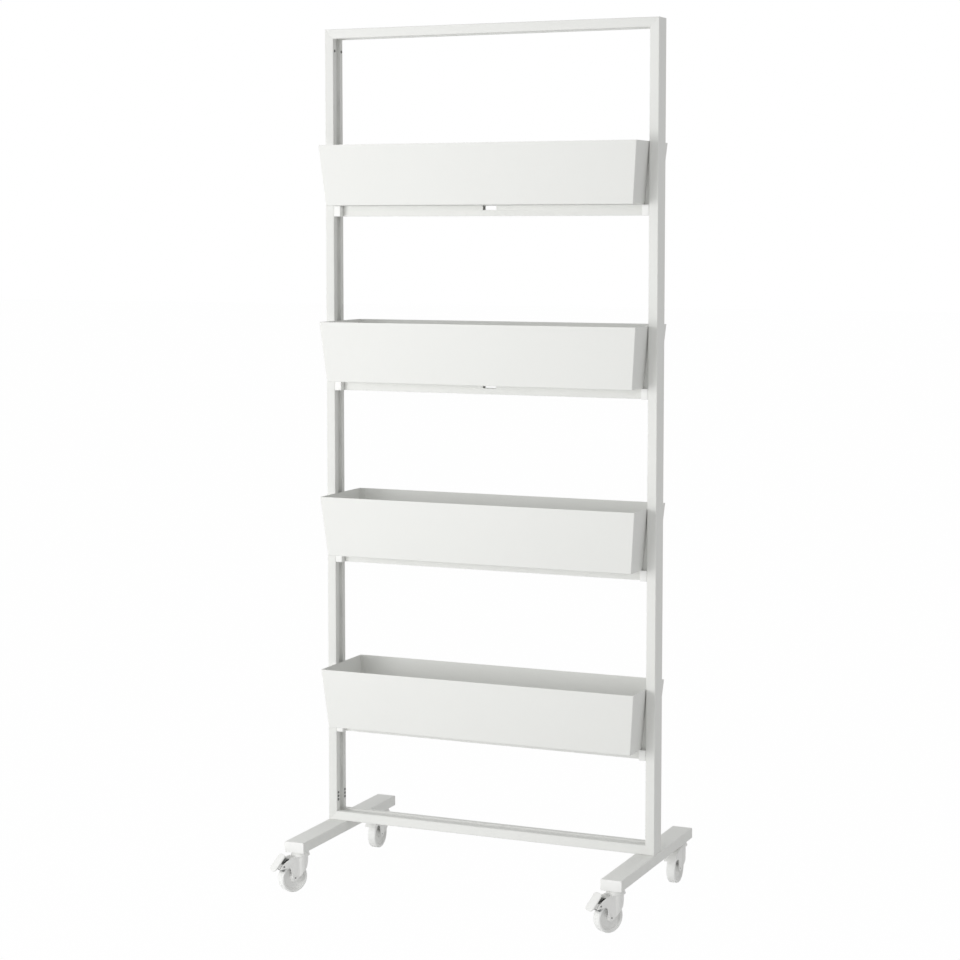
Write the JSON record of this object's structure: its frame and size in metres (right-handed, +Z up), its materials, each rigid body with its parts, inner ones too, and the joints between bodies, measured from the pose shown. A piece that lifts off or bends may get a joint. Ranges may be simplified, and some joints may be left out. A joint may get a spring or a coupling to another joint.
{
  "type": "rolling_shelving_unit",
  "caption": "Tall white steel frame on two cross feet with braked swivel casters, carrying open tapered sheet-steel trays hooked into slotted uprights",
  "frame": {"origin": "on the floor, under the middle of the frame", "axes": "+Z up along the uprights, +X to the right along the trays, +Y to the back; the braked casters are in front, at -Y"},
  "size_m": [0.8734, 0.5432, 2.044],
  "materials": {
    "powder_coat": "satin powder coat",
    "white_plastic": "satin moulded",
    "pale_tread": "smooth",
    "zinc_steel": "bright zinc"
  },
  "bodies": {
    "frame": {"left_upright": "powder_coat", "right_upright": "powder_coat", "top_rail": "powder_coat", "bottom_rail": "powder_coat", "top_corner_connectors": "zinc_steel", "bottom_corner_connectors": "zinc_steel", "left_foot": "powder_coat", "right_foot": "powder_coat", "foot_end_caps": "white_plastic", "caster_stems": "zinc_steel", "support_rail_1": "powder_coat", "rail_clips_1": "white_plastic", "support_rail_2": "powder_coat", "rail_clips_2": "white_plastic", "support_rail_3": "powder_coat", "rail_clips_3": "white_plastic", "support_rail_4": "powder_coat", "rail_clips_4": "white_plastic"},
    "tray_1": {"tray_1": "powder_coat", "tray_hangers_1": "powder_coat"},
    "tray_2": {"tray_2": "powder_coat", "tray_hangers_2": "powder_coat"},
    "tray_3": {"tray_3": "powder_coat", "tray_hangers_3": "powder_coat"},
    "tray_4": {"tray_4": "powder_coat", "tray_hangers_4": "powder_coat"},
    "front_left_caster": {"front_left_fork": "white_plastic", "front_left_axle": "zinc_steel", "front_left_pedal_pin": "zinc_steel"},
    "front_left_roller": {"front_left_wheel": "white_plastic", "front_left_tyre": "pale_tread"},
    "front_left_brake": {"front_left_pedal": "white_plastic"},
    "front_right_caster": {"front_right_fork": "white_plastic", "front_right_axle": "zinc_steel", "front_right_pedal_pin": "zinc_steel"},
    "front_right_roller": {"front_right_wheel": "white_plastic", "front_right_tyre": "pale_tread"},
    "front_right_brake": {"front_right_pedal": "white_plastic"},
    "rear_left_caster": {"rear_left_fork": "white_plastic", "rear_left_axle": "zinc_steel"},
    "rear_left_roller": {"rear_left_wheel": "white_plastic", "rear_left_tyre": "pale_tread"},
    "rear_right_caster": {"rear_right_fork": "white_plastic", "rear_right_axle": "zinc_steel"},
    "rear_right_roller": {"rear_right_wheel": "white_plastic", "rear_right_tyre": "pale_tread"}
  },
  "joints": [
    {"name": "tray_1_lift", "type": "slide", "parent": "frame", "child": "tray_1", "axis": [0, 0, 1], "range_m": [0, 0.012]},
    {"name": "tray_2_lift", "type": "slide", "parent": "frame", "child": "tray_2", "axis": [0, 0, 1], "range_m": [0, 0.012]},
    {"name": "tray_3_lift", "type": "slide", "parent": "frame", "child": "tray_3", "axis": [0, 0, 1], "range_m": [0, 0.012]},
    {"name": "tray_4_lift", "type": "slide", "parent": "frame", "child": "tray_4", "axis": [0, 0, 1], "range_m": [0, 0.012]},
    {"name": "front_left_swivel", "type": "hinge", "parent": "frame", "child": "front_left_caster", "pos_m": [-0.39875, -0.219, 0.09], "axis": [0, 0, 1], "continuous": true},
    {"name": "front_left_roll", "type": "hinge", "parent": "front_left_caster", "child": "front_left_roller", "pos_m": [-0.41008, -0.23786, 0.035], "axis": [0.8572, -0.515, 0], "continuous": true},
    {"name": "front_left_brake_press", "type": "hinge", "parent": "front_left_caster", "child": "front_left_brake", "pos_m": [-0.42605, -0.26443, 0.0665], "axis": [0.8572, -0.515, 0], "range_deg": [0, 12]},
    {"name": "front_right_swivel", "type": "hinge", "parent": "frame", "child": "front_right_caster", "pos_m": [0.39875, -0.219, 0.09], "axis": [0, 0, 1], "continuous": true},
    {"name": "front_right_roll", "type": "hinge", "parent": "front_right_caster", "child": "front_right_roller", "pos_m": [0.38742, -0.23786, 0.035], "axis": [0.8572, -0.515, 0], "continuous": true},
    {"name": "front_right_brake_press", "type": "hinge", "parent": "front_right_caster", "child": "front_right_brake", "pos_m": [0.37145, -0.26443, 0.0665], "axis": [0.8572, -0.515, 0], "range_deg": [0, 12]},
    {"name": "rear_left_swivel", "type": "hinge", "parent": "frame", "child": "rear_left_caster", "pos_m": [-0.39875, 0.219, 0.09], "axis": [0, 0, 1], "continuous": true},
    {"name": "rear_left_roll", "type": "hinge", "parent": "rear_left_caster", "child": "rear_left_roller", "pos_m": [-0.39875, 0.197, 0.035], "axis": [1, 0, 0], "continuous": true},
    {"name": "rear_right_swivel", "type": "hinge", "parent": "frame", "child": "rear_right_caster", "pos_m": [0.39875, 0.219, 0.09], "axis": [0, 0, 1], "continuous": true},
    {"name": "rear_right_roll", "type": "hinge", "parent": "rear_right_caster", "child": "rear_right_roller", "pos_m": [0.39875, 0.197, 0.035], "axis": [1, 0, 0], "continuous": true}
  ]
}
